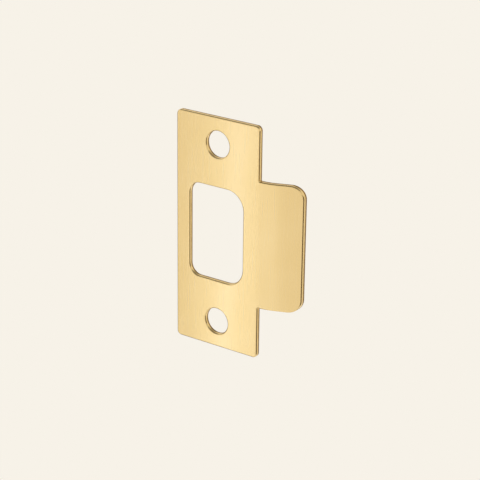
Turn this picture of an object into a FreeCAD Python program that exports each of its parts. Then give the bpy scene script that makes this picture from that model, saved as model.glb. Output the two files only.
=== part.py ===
"""Door strike plate of the T-strike pattern: one stamped sheet of brass with a curved lip.

The plate is screwed upright to a door jamb. The latch bolt rides up the lip, which turns back out of
the door's way, and then drops into the large opening. Millimetres, +Z up. The front face looks along
-Y, towards the door, and the lip points along +X. The origin is midway between the two screw holes,
on the back face, which lies against the jamb.
"""

import FreeCAD
import Part

import math
import os

from FreeCAD import Vector

# The flat plate
PLATE_HEIGHT = 69.85
PLATE_WIDTH = 28.575
SHEET_THICKNESS = 1.6
PLATE_CORNER_RADIUS = 1.4

# The two plain screw holes, on the plate's centre line
SCREW_HOLE_DIAMETER = 7.9375
SCREW_END_DISTANCE = 7.9375

# The latch opening, with rounder corners on the side of the lip
OPENING_HEIGHT = 28.6
OPENING_WIDTH = 18.7
OPENING_LIP_MARGIN = 5.3
OPENING_FAR_CORNER_RADIUS = 3.4
OPENING_LIP_CORNER_RADIUS = 5.6

# The lip: a bend that starts at the plate's edge, then a flat run to the rounded tip. The tip was
# trimmed after bending, so it is square to the plate and not to the lip
LIP_HEIGHT = 38.1
LIP_REACH = 12.5
LIP_BEND_RADIUS = 14.0
LIP_BEND_ANGLE = 21.0
LIP_CORNER_RADIUS = 4.0
NOTCH_RADIUS = 0.2

# Edges: the punch draws the front edge over, and the back edge is only deburred, at 45 degrees
FRONT_EDGE_RADIUS = 0.45
BACK_EDGE_CHAMFER = 0.15

# How far the cutting prism of the outline reaches past the sheet on each side, and the bent sheet past
# the tip that is trimmed from it
CUT_CLEARANCE = 2.0

HALF_WIDTH = PLATE_WIDTH / 2
HALF_HEIGHT = PLATE_HEIGHT / 2
LIP_TIP = HALF_WIDTH + LIP_REACH
BEND = math.radians(LIP_BEND_ANGLE)


def bend_point(radius, angle):
    """A point of the lip's bend, seen from above, at an angle from where the bend starts."""
    centre_y = LIP_BEND_RADIUS - SHEET_THICKNESS
    return Vector(HALF_WIDTH + radius * math.sin(angle), centre_y - radius * math.cos(angle), 0)


def lip_surface(radius):
    """The bend and the flat run on one side of the untrimmed lip, as edges, with the run's last point."""
    start = bend_point(radius, 0)
    end = bend_point(radius, BEND)
    run = (LIP_TIP + CUT_CLEARANCE - end.x) / math.cos(BEND)
    last = end + Vector(math.cos(BEND), math.sin(BEND), 0) * run
    bend = Part.Arc(start, bend_point(radius, BEND / 2), end).toShape()
    return [bend, Part.makeLine(end, last)], last


def sheet_section():
    """The bent sheet seen from above: the plate, the bend and the flat of the lip, at one thickness."""
    front_edges, front_last = lip_surface(LIP_BEND_RADIUS)
    back_edges, back_last = lip_surface(LIP_BEND_RADIUS - SHEET_THICKNESS)
    front_left = Vector(-HALF_WIDTH, -SHEET_THICKNESS, 0)
    back_left = Vector(-HALF_WIDTH, 0, 0)
    front = Part.makeLine(front_left, Vector(HALF_WIDTH, -SHEET_THICKNESS, 0))
    back = Part.makeLine(back_left, Vector(HALF_WIDTH, 0, 0))
    ends = [Part.makeLine(front_left, back_left), Part.makeLine(front_last, back_last)]
    edges = [front, back] + front_edges + back_edges + ends
    return Part.Face(Part.Wire(Part.__sortEdges__(edges)))


def rounded_outline(corners):
    """A closed wire in the XZ plane through corners (x, z, radius), each rounded to its radius."""
    starts = []
    arcs = []
    ends = []
    points = [Vector(x, 0, z) for x, z, radius in corners]
    for index, (x, z, radius) in enumerate(corners):
        corner = points[index]
        to_before = (points[index - 1] - corner).normalize()
        to_after = (points[(index + 1) % len(points)] - corner).normalize()
        half_angle = to_before.getAngle(to_after) / 2
        start = corner + to_before * (radius / math.tan(half_angle))
        end = corner + to_after * (radius / math.tan(half_angle))
        bisector = (to_before + to_after).normalize()
        middle = corner + bisector * (radius / math.sin(half_angle) - radius)
        starts.append(start)
        arcs.append(Part.Arc(start, middle, end).toShape())
        ends.append(end)
    lines = [Part.makeLine(ends[index - 1], starts[index]) for index in range(len(points))]
    return Part.Wire(Part.__sortEdges__(lines + arcs))


def t_outline():
    """The T shape seen from the front: the plate, with the lip in the middle of its right side."""
    half_lip = LIP_HEIGHT / 2
    return rounded_outline([
        (-HALF_WIDTH, HALF_HEIGHT, PLATE_CORNER_RADIUS),
        (HALF_WIDTH, HALF_HEIGHT, PLATE_CORNER_RADIUS),
        (HALF_WIDTH, half_lip, NOTCH_RADIUS),
        (LIP_TIP, half_lip, LIP_CORNER_RADIUS),
        (LIP_TIP, -half_lip, LIP_CORNER_RADIUS),
        (HALF_WIDTH, -half_lip, NOTCH_RADIUS),
        (HALF_WIDTH, -HALF_HEIGHT, PLATE_CORNER_RADIUS),
        (-HALF_WIDTH, -HALF_HEIGHT, PLATE_CORNER_RADIUS),
    ])


def opening_outline():
    """The latch opening seen from the front."""
    lip_side = HALF_WIDTH - OPENING_LIP_MARGIN
    far_side = lip_side - OPENING_WIDTH
    half = OPENING_HEIGHT / 2
    return rounded_outline([
        (far_side, half, OPENING_FAR_CORNER_RADIUS),
        (lip_side, half, OPENING_LIP_CORNER_RADIUS),
        (lip_side, -half, OPENING_LIP_CORNER_RADIUS),
        (far_side, -half, OPENING_FAR_CORNER_RADIUS),
    ])


def screw_hole_outlines():
    """The two screw holes, one near each end of the plate."""
    reach = HALF_HEIGHT - SCREW_END_DISTANCE
    across = Vector(0, 1, 0)
    return [
        Part.Wire(Part.makeCircle(SCREW_HOLE_DIAMETER / 2, Vector(0, 0, z), across))
        for z in (reach, -reach)
    ]


def punched_and_bent_sheet():
    """The bent sheet, as tall as the plate, cut to the T outline with its opening and screw holes."""
    section = sheet_section()
    section.translate(Vector(0, 0, -HALF_HEIGHT))
    bent_sheet = section.extrude(Vector(0, 0, PLATE_HEIGHT))
    extent = bent_sheet.BoundBox
    wires = [t_outline(), opening_outline()] + screw_hole_outlines()
    outline = Part.makeFace(wires, "Part::FaceMakerBullseye")
    outline.translate(Vector(0, extent.YMin - CUT_CLEARANCE, 0))
    punch = outline.extrude(Vector(0, extent.YLength + 2 * CUT_CLEARANCE, 0))
    return bent_sheet.common(punch)


def rim_edges(shape, side):
    """The edges round one side of the sheet and its openings: side is -1 for the front, 1 for the back."""
    least = math.cos(BEND) / 2
    faces = []
    for face in shape.Faces:
        u_first, u_last, v_first, v_last = face.ParameterRange
        normal = face.normalAt((u_first + u_last) / 2, (v_first + v_last) / 2)
        if normal.y * side > least:
            faces.append(face)
    edges = [edge for face in faces for edge in face.Edges]
    return [edge for edge in edges if sum(edge.isSame(other) for other in edges) == 1]


def strike_plate():
    """The finished plate, as one solid."""
    plate = punched_and_bent_sheet()
    plate = plate.makeFillet(FRONT_EDGE_RADIUS, rim_edges(plate, -1))
    plate = plate.makeChamfer(BACK_EDGE_CHAMFER, rim_edges(plate, 1))
    return plate.Solids[0]


def main():
    os.makedirs("parts", exist_ok=True)
    plate = strike_plate()
    plate.exportStep("parts/strike_plate.step")
    extent = plate.optimalBoundingBox(False, False)
    print("valid", plate.isValid(), "faces", len(plate.Faces), "volume mm3", round(plate.Volume, 2))
    print("x", round(extent.XMin, 3), round(extent.XMax, 3))
    print("y", round(extent.YMin, 3), round(extent.YMax, 3))
    print("z", round(extent.ZMin, 3), round(extent.ZMax, 3))


main()
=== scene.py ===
import math

import bpy
from mathutils import Matrix, Vector


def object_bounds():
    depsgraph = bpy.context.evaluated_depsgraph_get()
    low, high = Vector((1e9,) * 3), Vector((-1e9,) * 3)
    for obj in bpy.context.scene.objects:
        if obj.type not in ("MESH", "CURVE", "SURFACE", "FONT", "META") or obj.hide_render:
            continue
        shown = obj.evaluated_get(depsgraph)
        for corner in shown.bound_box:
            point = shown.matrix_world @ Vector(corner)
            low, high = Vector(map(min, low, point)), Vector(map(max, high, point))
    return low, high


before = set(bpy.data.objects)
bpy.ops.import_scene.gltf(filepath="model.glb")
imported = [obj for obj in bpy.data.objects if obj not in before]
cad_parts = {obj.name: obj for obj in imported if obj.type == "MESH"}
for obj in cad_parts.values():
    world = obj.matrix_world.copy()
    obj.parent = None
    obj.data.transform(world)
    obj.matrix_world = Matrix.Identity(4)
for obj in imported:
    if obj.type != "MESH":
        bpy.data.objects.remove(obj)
cad_low, cad_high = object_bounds()


# The strike plate
# One sheet of brass, punched to a T with its latch opening and two screw holes, with a lip that is bent
# back and trimmed. The front was polished along its length on a belt and lacquered. The edges are as
# the punch left them, and the back is as the rolling mill left it.
MM = 0.001
LIP_BEND_RADIUS = 14.0 * MM
LIP_BEND_ANGLE = math.radians(21.0)

# The plate's back lies at y = 0 and its middle at x = 0, so the frame's box gives its thickness and edge.
SHEET_THICKNESS = -cad_low.y
PLATE_EDGE_X = -cad_low.x


def linear(hex_colour):
    """A colour written as sRGB hex, turned to the linear values that shaders take."""
    channels = [int(hex_colour[start:start + 2], 16) / 255 for start in (1, 3, 5)]
    curve = [c / 12.92 if c <= 0.04045 else ((c + 0.055) / 1.055) ** 2.4 for c in channels]
    return (*curve, 1.0)


def add_node(tree, kind, inputs=None, **settings):
    """Adds a node, with its settings, and fills its inputs with values or with other nodes' outputs."""
    node = tree.nodes.new(kind)
    for name, value in settings.items():
        setattr(node, name, value)
    for socket, value in (inputs or {}).items():
        if isinstance(value, bpy.types.NodeSocket):
            tree.links.new(value, node.inputs[socket])
        else:
            node.inputs[socket].default_value = value
    return node


# Lacquered brass, punched and belt polished: a pale yellow metal, whose front has a soft, broad gloss, fine
# upright polishing lines and a thin clear film. The bare punched edges have a bright band at the front,
# where the punch slid past, and a dull grainy one behind it, where the sheet tore, which is also painted a
# darker brown as painted shade that outlines the edges. The back is bare as well, duller and streaky.
brass = bpy.data.materials.new("lacquered_brass_punched_and_belt_polished")
brass.use_nodes = True
tree = brass.node_tree
tree.nodes.clear()
place = add_node(tree, "ShaderNodeTexCoord").outputs["Object"]
point = add_node(tree, "ShaderNodeSeparateXYZ", {"Vector": place}).outputs
normal = add_node(tree, "ShaderNodeNewGeometry").outputs["Normal"]
facing = add_node(tree, "ShaderNodeSeparateXYZ", {"Vector": normal}).outputs["Y"]

# The lip turns back round the bend, which starts gently and runs out gently, and which is tighter behind
# by the sheet's thickness. A few facets stand for the bend in the mesh, and they would show as bands in
# the gloss, so wherever the mesh lies close to this curve, the metal takes the curve's own normal.
BEND_RUN_IN = 1.5 * MM
BEND_RUN_OUT = math.radians(20.0)
CLOSE = math.cos(math.radians(4.0))
APART = math.cos(math.radians(8.0))
side = add_node(tree, "ShaderNodeMath", {0: facing}, operation="SIGN").outputs[0]
bend_radius = add_node(tree, "ShaderNodeMapRange", {
    "Value": side, "From Min": -1.0, "From Max": 1.0,
    "To Min": LIP_BEND_RADIUS, "To Max": LIP_BEND_RADIUS - SHEET_THICKNESS}).outputs["Result"]
past_edge = add_node(tree, "ShaderNodeMath", {
    0: point["X"], 1: PLATE_EDGE_X}, operation="SUBTRACT").outputs[0]
past_edge = add_node(tree, "ShaderNodeMath", {
    0: past_edge, 1: 0.0, 2: BEND_RUN_IN}, operation="SMOOTH_MAX").outputs[0]
bend_sine = add_node(tree, "ShaderNodeMath", {
    0: past_edge, 1: bend_radius}, operation="DIVIDE").outputs[0]
turned = add_node(tree, "ShaderNodeMath", {0: bend_sine}, operation="ARCSINE").outputs[0]
turned = add_node(tree, "ShaderNodeMath", {
    0: turned, 1: LIP_BEND_ANGLE, 2: BEND_RUN_OUT}, operation="SMOOTH_MIN").outputs[0]
back_normal = add_node(tree, "ShaderNodeVectorRotate", {
    "Vector": (0.0, 1.0, 0.0), "Angle": turned}, rotation_type="Z_AXIS").outputs["Vector"]
curve_normal = add_node(tree, "ShaderNodeVectorMath", {
    0: back_normal, "Scale": side}, operation="SCALE").outputs["Vector"]
agreement = add_node(tree, "ShaderNodeVectorMath", {
    0: normal, 1: curve_normal}, operation="DOT_PRODUCT").outputs["Value"]
on_curve = add_node(tree, "ShaderNodeMapRange", {
    "Value": agreement, "From Min": APART, "From Max": CLOSE},
    interpolation_type="SMOOTHSTEP").outputs["Result"]
smooth_normal = add_node(tree, "ShaderNodeMix", {
    "Factor": on_curve, "A": normal, "B": curve_normal}, data_type="VECTOR").outputs["Result"]

# Which finish is where: the sheet's own faces look along Y, within the lip's bend, and its edges don't.
EDGE_BELOW = 0.3
FACE_ABOVE = 0.6
BACK_ABOVE = 0.9
squareness = add_node(tree, "ShaderNodeMath", {0: facing}, operation="ABSOLUTE").outputs[0]
is_edge = add_node(tree, "ShaderNodeMapRange", {
    "Value": squareness, "From Min": EDGE_BELOW, "From Max": FACE_ABOVE, "To Min": 1.0, "To Max": 0.0},
    interpolation_type="SMOOTHSTEP").outputs["Result"]
is_front = add_node(tree, "ShaderNodeMapRange", {
    "Value": facing, "From Min": -FACE_ABOVE, "From Max": -EDGE_BELOW, "To Min": 1.0, "To Max": 0.0},
    interpolation_type="SMOOTHSTEP").outputs["Result"]
is_back = add_node(tree, "ShaderNodeMapRange", {
    "Value": facing, "From Min": FACE_ABOVE, "From Max": BACK_ABOVE},
    interpolation_type="SMOOTHSTEP").outputs["Result"]

# How deep a point of the edge lies behind the front face, which the lip's bend takes back.
BEND_MIDDLE_X = PLATE_EDGE_X + LIP_BEND_RADIUS * math.tan(LIP_BEND_ANGLE / 2)
BEND_BLEND = 1.0 * MM
lip_run = add_node(tree, "ShaderNodeMath", {
    0: point["X"], 1: BEND_MIDDLE_X}, operation="SUBTRACT").outputs[0]
lip_run = add_node(tree, "ShaderNodeMath", {
    0: lip_run, 1: 0.0, 2: BEND_BLEND}, operation="SMOOTH_MAX").outputs[0]
front_y = add_node(tree, "ShaderNodeMath", {
    0: lip_run, 1: math.tan(LIP_BEND_ANGLE), 2: -SHEET_THICKNESS}, operation="MULTIPLY_ADD").outputs[0]
depth = add_node(tree, "ShaderNodeMath", {0: point["Y"], 1: front_y}, operation="SUBTRACT").outputs[0]

# The torn band starts just past half way back, along an uneven line.
TEAR_START = 0.55 * SHEET_THICKNESS
TEAR_BLEND = 0.12 * MM
TEAR_WANDER = 0.2 * MM
TEAR_WAVE = 1.6 * MM
wander = add_node(tree, "ShaderNodeTexNoise", {
    "Vector": place, "Scale": 1 / TEAR_WAVE, "Detail": 3.0}).outputs["Fac"]
tear_line = add_node(tree, "ShaderNodeMapRange", {
    "Value": wander,
    "To Min": TEAR_START - TEAR_WANDER, "To Max": TEAR_START + TEAR_WANDER}).outputs["Result"]
past_tear = add_node(tree, "ShaderNodeMath", {0: depth, 1: tear_line}, operation="SUBTRACT").outputs[0]
past_tear = add_node(tree, "ShaderNodeMapRange", {
    "Value": past_tear, "From Min": 0.0, "From Max": TEAR_BLEND}).outputs["Result"]
torn_band_and_painted_shade = add_node(tree, "ShaderNodeMath", {0: past_tear, 1: is_edge}, operation="MULTIPLY").outputs[0]

# Polishing lines are a tenth of a millimetre apart on the real plate: too fine to show, so they are
# drawn three times as coarse. The mill's rolling lines on the back are broader and longer.
LINE_SPACING = 0.3 * MM
LINE_LENGTH = 16.0 * MM
ROLL_SPACING = 0.6 * MM
ROLL_LENGTH = 40.0 * MM
line_place = add_node(tree, "ShaderNodeMapping", {
    "Vector": place,
    "Scale": (1 / LINE_SPACING, 1 / LINE_SPACING, 1 / LINE_LENGTH)}).outputs["Vector"]
lines = add_node(tree, "ShaderNodeTexNoise", {
    "Vector": line_place, "Scale": 1.0, "Detail": 2.0, "Roughness": 0.6}).outputs["Fac"]
roll_place = add_node(tree, "ShaderNodeMapping", {
    "Vector": place,
    "Scale": (1 / ROLL_SPACING, 1 / ROLL_SPACING, 1 / ROLL_LENGTH)}).outputs["Vector"]
rolling = add_node(tree, "ShaderNodeTexNoise", {
    "Vector": roll_place, "Scale": 1.0, "Detail": 3.0, "Roughness": 0.65}).outputs["Fac"]

# The colour drifts a little in broad patches and, by as much, from line to line.
FRONT_SHADES = (linear("#EACB88"), linear("#F4D9A0"))
BACK_SHADES = (linear("#D4B275"), linear("#EBD199"))
# The torn band's darker brown is partly its dull grain and partly painted shade that outlines the edges.
TORN_BAND_PAINTED_SHADE = linear("#A98652")
TONE_PATCH = 11.0 * MM
LINE_SHARE = 0.5
patches = add_node(tree, "ShaderNodeTexNoise", {
    "Vector": place, "Scale": 1 / TONE_PATCH, "Detail": 2.0, "Roughness": 0.5}).outputs["Fac"]
front_tone = add_node(tree, "ShaderNodeMix", {
    "Factor": LINE_SHARE, "A": patches, "B": lines}, data_type="FLOAT").outputs["Result"]
front_colour = add_node(tree, "ShaderNodeMix", {
    "Factor": front_tone, "A": FRONT_SHADES[0], "B": FRONT_SHADES[1]}, data_type="RGBA").outputs["Result"]
back_tone = add_node(tree, "ShaderNodeMix", {
    "Factor": LINE_SHARE, "A": patches, "B": rolling}, data_type="FLOAT").outputs["Result"]
back_colour = add_node(tree, "ShaderNodeMix", {
    "Factor": back_tone, "A": BACK_SHADES[0], "B": BACK_SHADES[1]}, data_type="RGBA").outputs["Result"]
colour = add_node(tree, "ShaderNodeMix", {
    "Factor": is_back, "A": front_colour, "B": back_colour}, data_type="RGBA").outputs["Result"]
# Painted shade: the torn band is painted a darker brown along the edges.
colour = add_node(tree, "ShaderNodeMix", {
    "Factor": torn_band_and_painted_shade, "A": colour, "B": TORN_BAND_PAINTED_SHADE}, data_type="RGBA").outputs["Result"]

# The gloss is broad and even in front, streaky behind, and dull where the sheet tore. It follows the lines'
# noise, most of which lies between the two levels given.
FRONT_ROUGHNESS = (0.24, 0.28)
BACK_ROUGHNESS = (0.27, 0.42)
TORN_ROUGHNESS = 0.46
NOISE_LOW = 0.3
NOISE_HIGH = 0.7
front_gloss = add_node(tree, "ShaderNodeMapRange", {
    "Value": lines, "From Min": NOISE_LOW, "From Max": NOISE_HIGH,
    "To Min": FRONT_ROUGHNESS[0], "To Max": FRONT_ROUGHNESS[1]}).outputs["Result"]
back_gloss = add_node(tree, "ShaderNodeMapRange", {
    "Value": rolling, "From Min": NOISE_LOW, "From Max": NOISE_HIGH,
    "To Min": BACK_ROUGHNESS[0], "To Max": BACK_ROUGHNESS[1]}).outputs["Result"]
gloss = add_node(tree, "ShaderNodeMix", {
    "Factor": is_back, "A": front_gloss, "B": back_gloss}, data_type="FLOAT").outputs["Result"]
gloss = add_node(tree, "ShaderNodeMix", {
    "Factor": torn_band_and_painted_shade, "A": gloss, "B": TORN_ROUGHNESS}, data_type="FLOAT").outputs["Result"]

# The lines are hardly felt, and the torn band is rough to the nail.
LINE_RELIEF = 0.008 * MM
LINE_STRENGTH = 0.1
TORN_GRAIN = 0.18 * MM
TORN_RELIEF = 0.03 * MM
TORN_STRENGTH = 0.5
line_height = add_node(tree, "ShaderNodeMix", {
    "Factor": is_back, "A": lines, "B": rolling}, data_type="FLOAT").outputs["Result"]
line_normal = add_node(tree, "ShaderNodeBump", {
    "Height": line_height, "Strength": LINE_STRENGTH, "Distance": LINE_RELIEF,
    "Normal": smooth_normal}).outputs["Normal"]
grain = add_node(tree, "ShaderNodeTexNoise", {
    "Vector": place, "Scale": 1 / TORN_GRAIN, "Detail": 2.0, "Roughness": 0.7}).outputs["Fac"]
torn_height = add_node(tree, "ShaderNodeMath", {0: grain, 1: torn_band_and_painted_shade}, operation="MULTIPLY").outputs[0]
torn_normal = add_node(tree, "ShaderNodeBump", {
    "Height": torn_height, "Strength": TORN_STRENGTH, "Distance": TORN_RELIEF,
    "Normal": line_normal}).outputs["Normal"]

# The lacquer is on the front alone.
metal = add_node(tree, "ShaderNodeBsdfPrincipled", {
    "Base Color": colour,
    "Metallic": 1.0,
    "Roughness": gloss,
    "Normal": torn_normal,
    "Coat Weight": is_front,
    "Coat Roughness": 0.12,
})
add_node(tree, "ShaderNodeOutputMaterial", {"Surface": metal.outputs["BSDF"]})
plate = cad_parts["strike_plate"]
for slot in plate.material_slots:
    slot.material = brass


# The floor and the backdrop
# A plain cream sweep, well below the plate, which is fixed to a jamb in use and stands on nothing here.
# The lamps shine up at the plate and the room lights it from all round, so no shadow of it would show
# down there. The camera and the metal both see the sweep's colour as written.
CREAM = linear("#F7F2E8")
FLOOR_DROP = 120 * MM
FLOOR_SIZE = 3000 * MM

bpy.ops.object.select_all(action="DESELECT")
bpy.ops.mesh.primitive_plane_add(size=FLOOR_SIZE, location=(0, 0, cad_low.z - FLOOR_DROP))
floor = bpy.context.active_object
floor.name = "floor"

paper = bpy.data.materials.new("cream_paper_sweep")
paper.use_nodes = True
tree = paper.node_tree
tree.nodes.clear()
rays = add_node(tree, "ShaderNodeLightPath").outputs
seen = add_node(tree, "ShaderNodeMath", {
    0: rays["Is Camera Ray"], 1: rays["Is Glossy Ray"]}, operation="MAXIMUM").outputs[0]
seen = add_node(tree, "ShaderNodeMath", {
    0: seen, 1: rays["Is Transmission Ray"]}, operation="MAXIMUM").outputs[0]
lit = add_node(tree, "ShaderNodeBsdfDiffuse", {"Color": CREAM}).outputs["BSDF"]
shown = add_node(tree, "ShaderNodeEmission", {"Color": CREAM, "Strength": 1.0}).outputs["Emission"]
either = add_node(tree, "ShaderNodeMixShader", {0: seen, 1: lit, 2: shown}).outputs["Shader"]
add_node(tree, "ShaderNodeOutputMaterial", {"Surface": either})
floor.data.materials.append(paper)

# Overhead the room is darker, so that the upper edges have something dark to mirror where they roll over.
# The two heights are sines of an elevation.
CEILING_STARTS = 0.5
CEILING_FULL = 0.7
CEILING_LEVEL = 0.25
world = bpy.data.worlds.new("cream_studio")
bpy.context.scene.world = world
world.use_nodes = True
tree = world.node_tree
tree.nodes.clear()
rays = add_node(tree, "ShaderNodeLightPath").outputs
way = add_node(tree, "ShaderNodeTexCoord").outputs["Generated"]
height = add_node(tree, "ShaderNodeSeparateXYZ", {"Vector": way}).outputs["Z"]
room = add_node(tree, "ShaderNodeMapRange", {
    "Value": height, "From Min": CEILING_STARTS, "From Max": CEILING_FULL,
    "To Min": 1.0, "To Max": CEILING_LEVEL}).outputs["Result"]
level = add_node(tree, "ShaderNodeMix", {
    "Factor": rays["Is Camera Ray"], "A": room, "B": 1.0}, data_type="FLOAT").outputs["Result"]
sky = add_node(tree, "ShaderNodeBackground", {"Color": CREAM, "Strength": level}).outputs["Background"]
add_node(tree, "ShaderNodeOutputWorld", {"Surface": sky})


# The camera
# It stands to the right of the plate and above it, on a long lens, and leans a little to one side.
# Its angles are in degrees, and its lens and sensor in millimetres.
CAMERA_AZIMUTH = 35.25
CAMERA_ELEVATION = 21.5
CAMERA_ROLL = 0.725
CAMERA_DISTANCE = 477.4 * MM
CAMERA_RIGHT = 6.635 * MM
CAMERA_UP = -1.452 * MM
CAMERA_LENS = 125.58
SENSOR_WIDTH = 36.0


def looking_back(azimuth, elevation, roll):
    """How a camera or lamp is turned to face the plate from an azimuth, to the right of its front, and an
    elevation. The roll is about its own line of sight."""
    azimuth = math.radians(azimuth)
    elevation = math.radians(elevation)
    roll = math.radians(roll)
    away = Vector((
        math.sin(azimuth) * math.cos(elevation),
        -math.cos(azimuth) * math.cos(elevation),
        math.sin(elevation),
    ))
    level_right = Vector((math.cos(azimuth), math.sin(azimuth), 0))
    right = level_right * math.cos(roll) + away.cross(level_right) * math.sin(roll)
    return Matrix((right, away.cross(right), away)).transposed()


plate_front = Vector((0, -SHEET_THICKNESS, 0))
turn = looking_back(CAMERA_AZIMUTH, CAMERA_ELEVATION, CAMERA_ROLL)
stand = plate_front + turn @ Vector((CAMERA_RIGHT, CAMERA_UP, CAMERA_DISTANCE))
bpy.ops.object.camera_add()
camera = bpy.context.active_object
camera.data.lens = CAMERA_LENS
camera.data.sensor_width = SENSOR_WIDTH
camera.matrix_world = Matrix.Translation(stand) @ turn.to_4x4()
bpy.context.scene.camera = camera


# The lights
# Two softboxes stand in front of the plate and a little below it, where the sheet mirrors them to the
# camera: a narrow upright strip for the bright band, and a wide one that carries its fall-off over the
# lip. A third one, behind the plate, lights its back.
LIGHT_REACH = 120 * MM
LIGHT_HEIGHT = 220 * MM
LIT_SPOT = plate_front + Vector((6 * MM, 0, 0))
DAYLIGHT = linear("#D1E2FF")


def add_softbox(name, azimuth, elevation, tilt, width, power):
    """An upright softbox that faces the lit spot. Its angles are in degrees, and tilt is its roll."""
    bpy.ops.object.light_add(type="AREA")
    softbox = bpy.context.active_object
    softbox.name = name
    softbox.data.shape = "RECTANGLE"
    softbox.data.size = width
    softbox.data.size_y = LIGHT_HEIGHT
    softbox.data.energy = power
    softbox.data.color = DAYLIGHT[:3]
    softbox.visible_camera = False
    turn = looking_back(azimuth, elevation, tilt)
    stand = LIT_SPOT + turn @ Vector((0, 0, LIGHT_REACH))
    softbox.matrix_world = Matrix.Translation(stand) @ turn.to_4x4()


add_softbox("strip_softbox", azimuth=-36.0, elevation=-21.5, tilt=-3.9, width=6 * MM, power=0.0073)
add_softbox("wide_softbox", azimuth=-8.0, elevation=-24.6, tilt=0.0, width=90 * MM, power=0.013)
add_softbox("rear_softbox", azimuth=165.0, elevation=-15.0, tilt=0.0, width=30 * MM, power=0.008)


# The felt cards
# Brown cards out of the picture, for the metal to mirror. They draw a fine darker line where the edges of
# the sheet roll over, and seen from other sides they give the lip and the back a change of tone.
brown_felt = bpy.data.materials.new("brown_felt")
brown_felt.use_nodes = True
tree = brown_felt.node_tree
tree.nodes.clear()
felt = add_node(tree, "ShaderNodeBsdfDiffuse", {"Color": linear("#8E8070")}).outputs["BSDF"]
add_node(tree, "ShaderNodeOutputMaterial", {"Surface": felt})


def add_card(name, low, high):
    """An upright or level card between two corners, in millimetres."""
    bpy.ops.object.select_all(action="DESELECT")
    bpy.ops.mesh.primitive_cube_add(size=1, location=[(a + b) / 2 * MM for a, b in zip(low, high)])
    card = bpy.context.active_object
    card.name = name
    card.scale = [(b - a) * MM for a, b in zip(low, high)]
    card.visible_camera = False
    card.data.materials.append(brown_felt)


add_card("right_card", low=(140, -112, -150), high=(141, 105, 30))
add_card("left_card", low=(-151, -60, -150), high=(-150, 105, 30))
add_card("rear_card", low=(-86, 130, -150), high=(-24, 131, -10))
add_card("floor_card", low=(-130, -80, -150), high=(-30, 20, -149))

bpy.context.scene.view_settings.view_transform = "Standard"
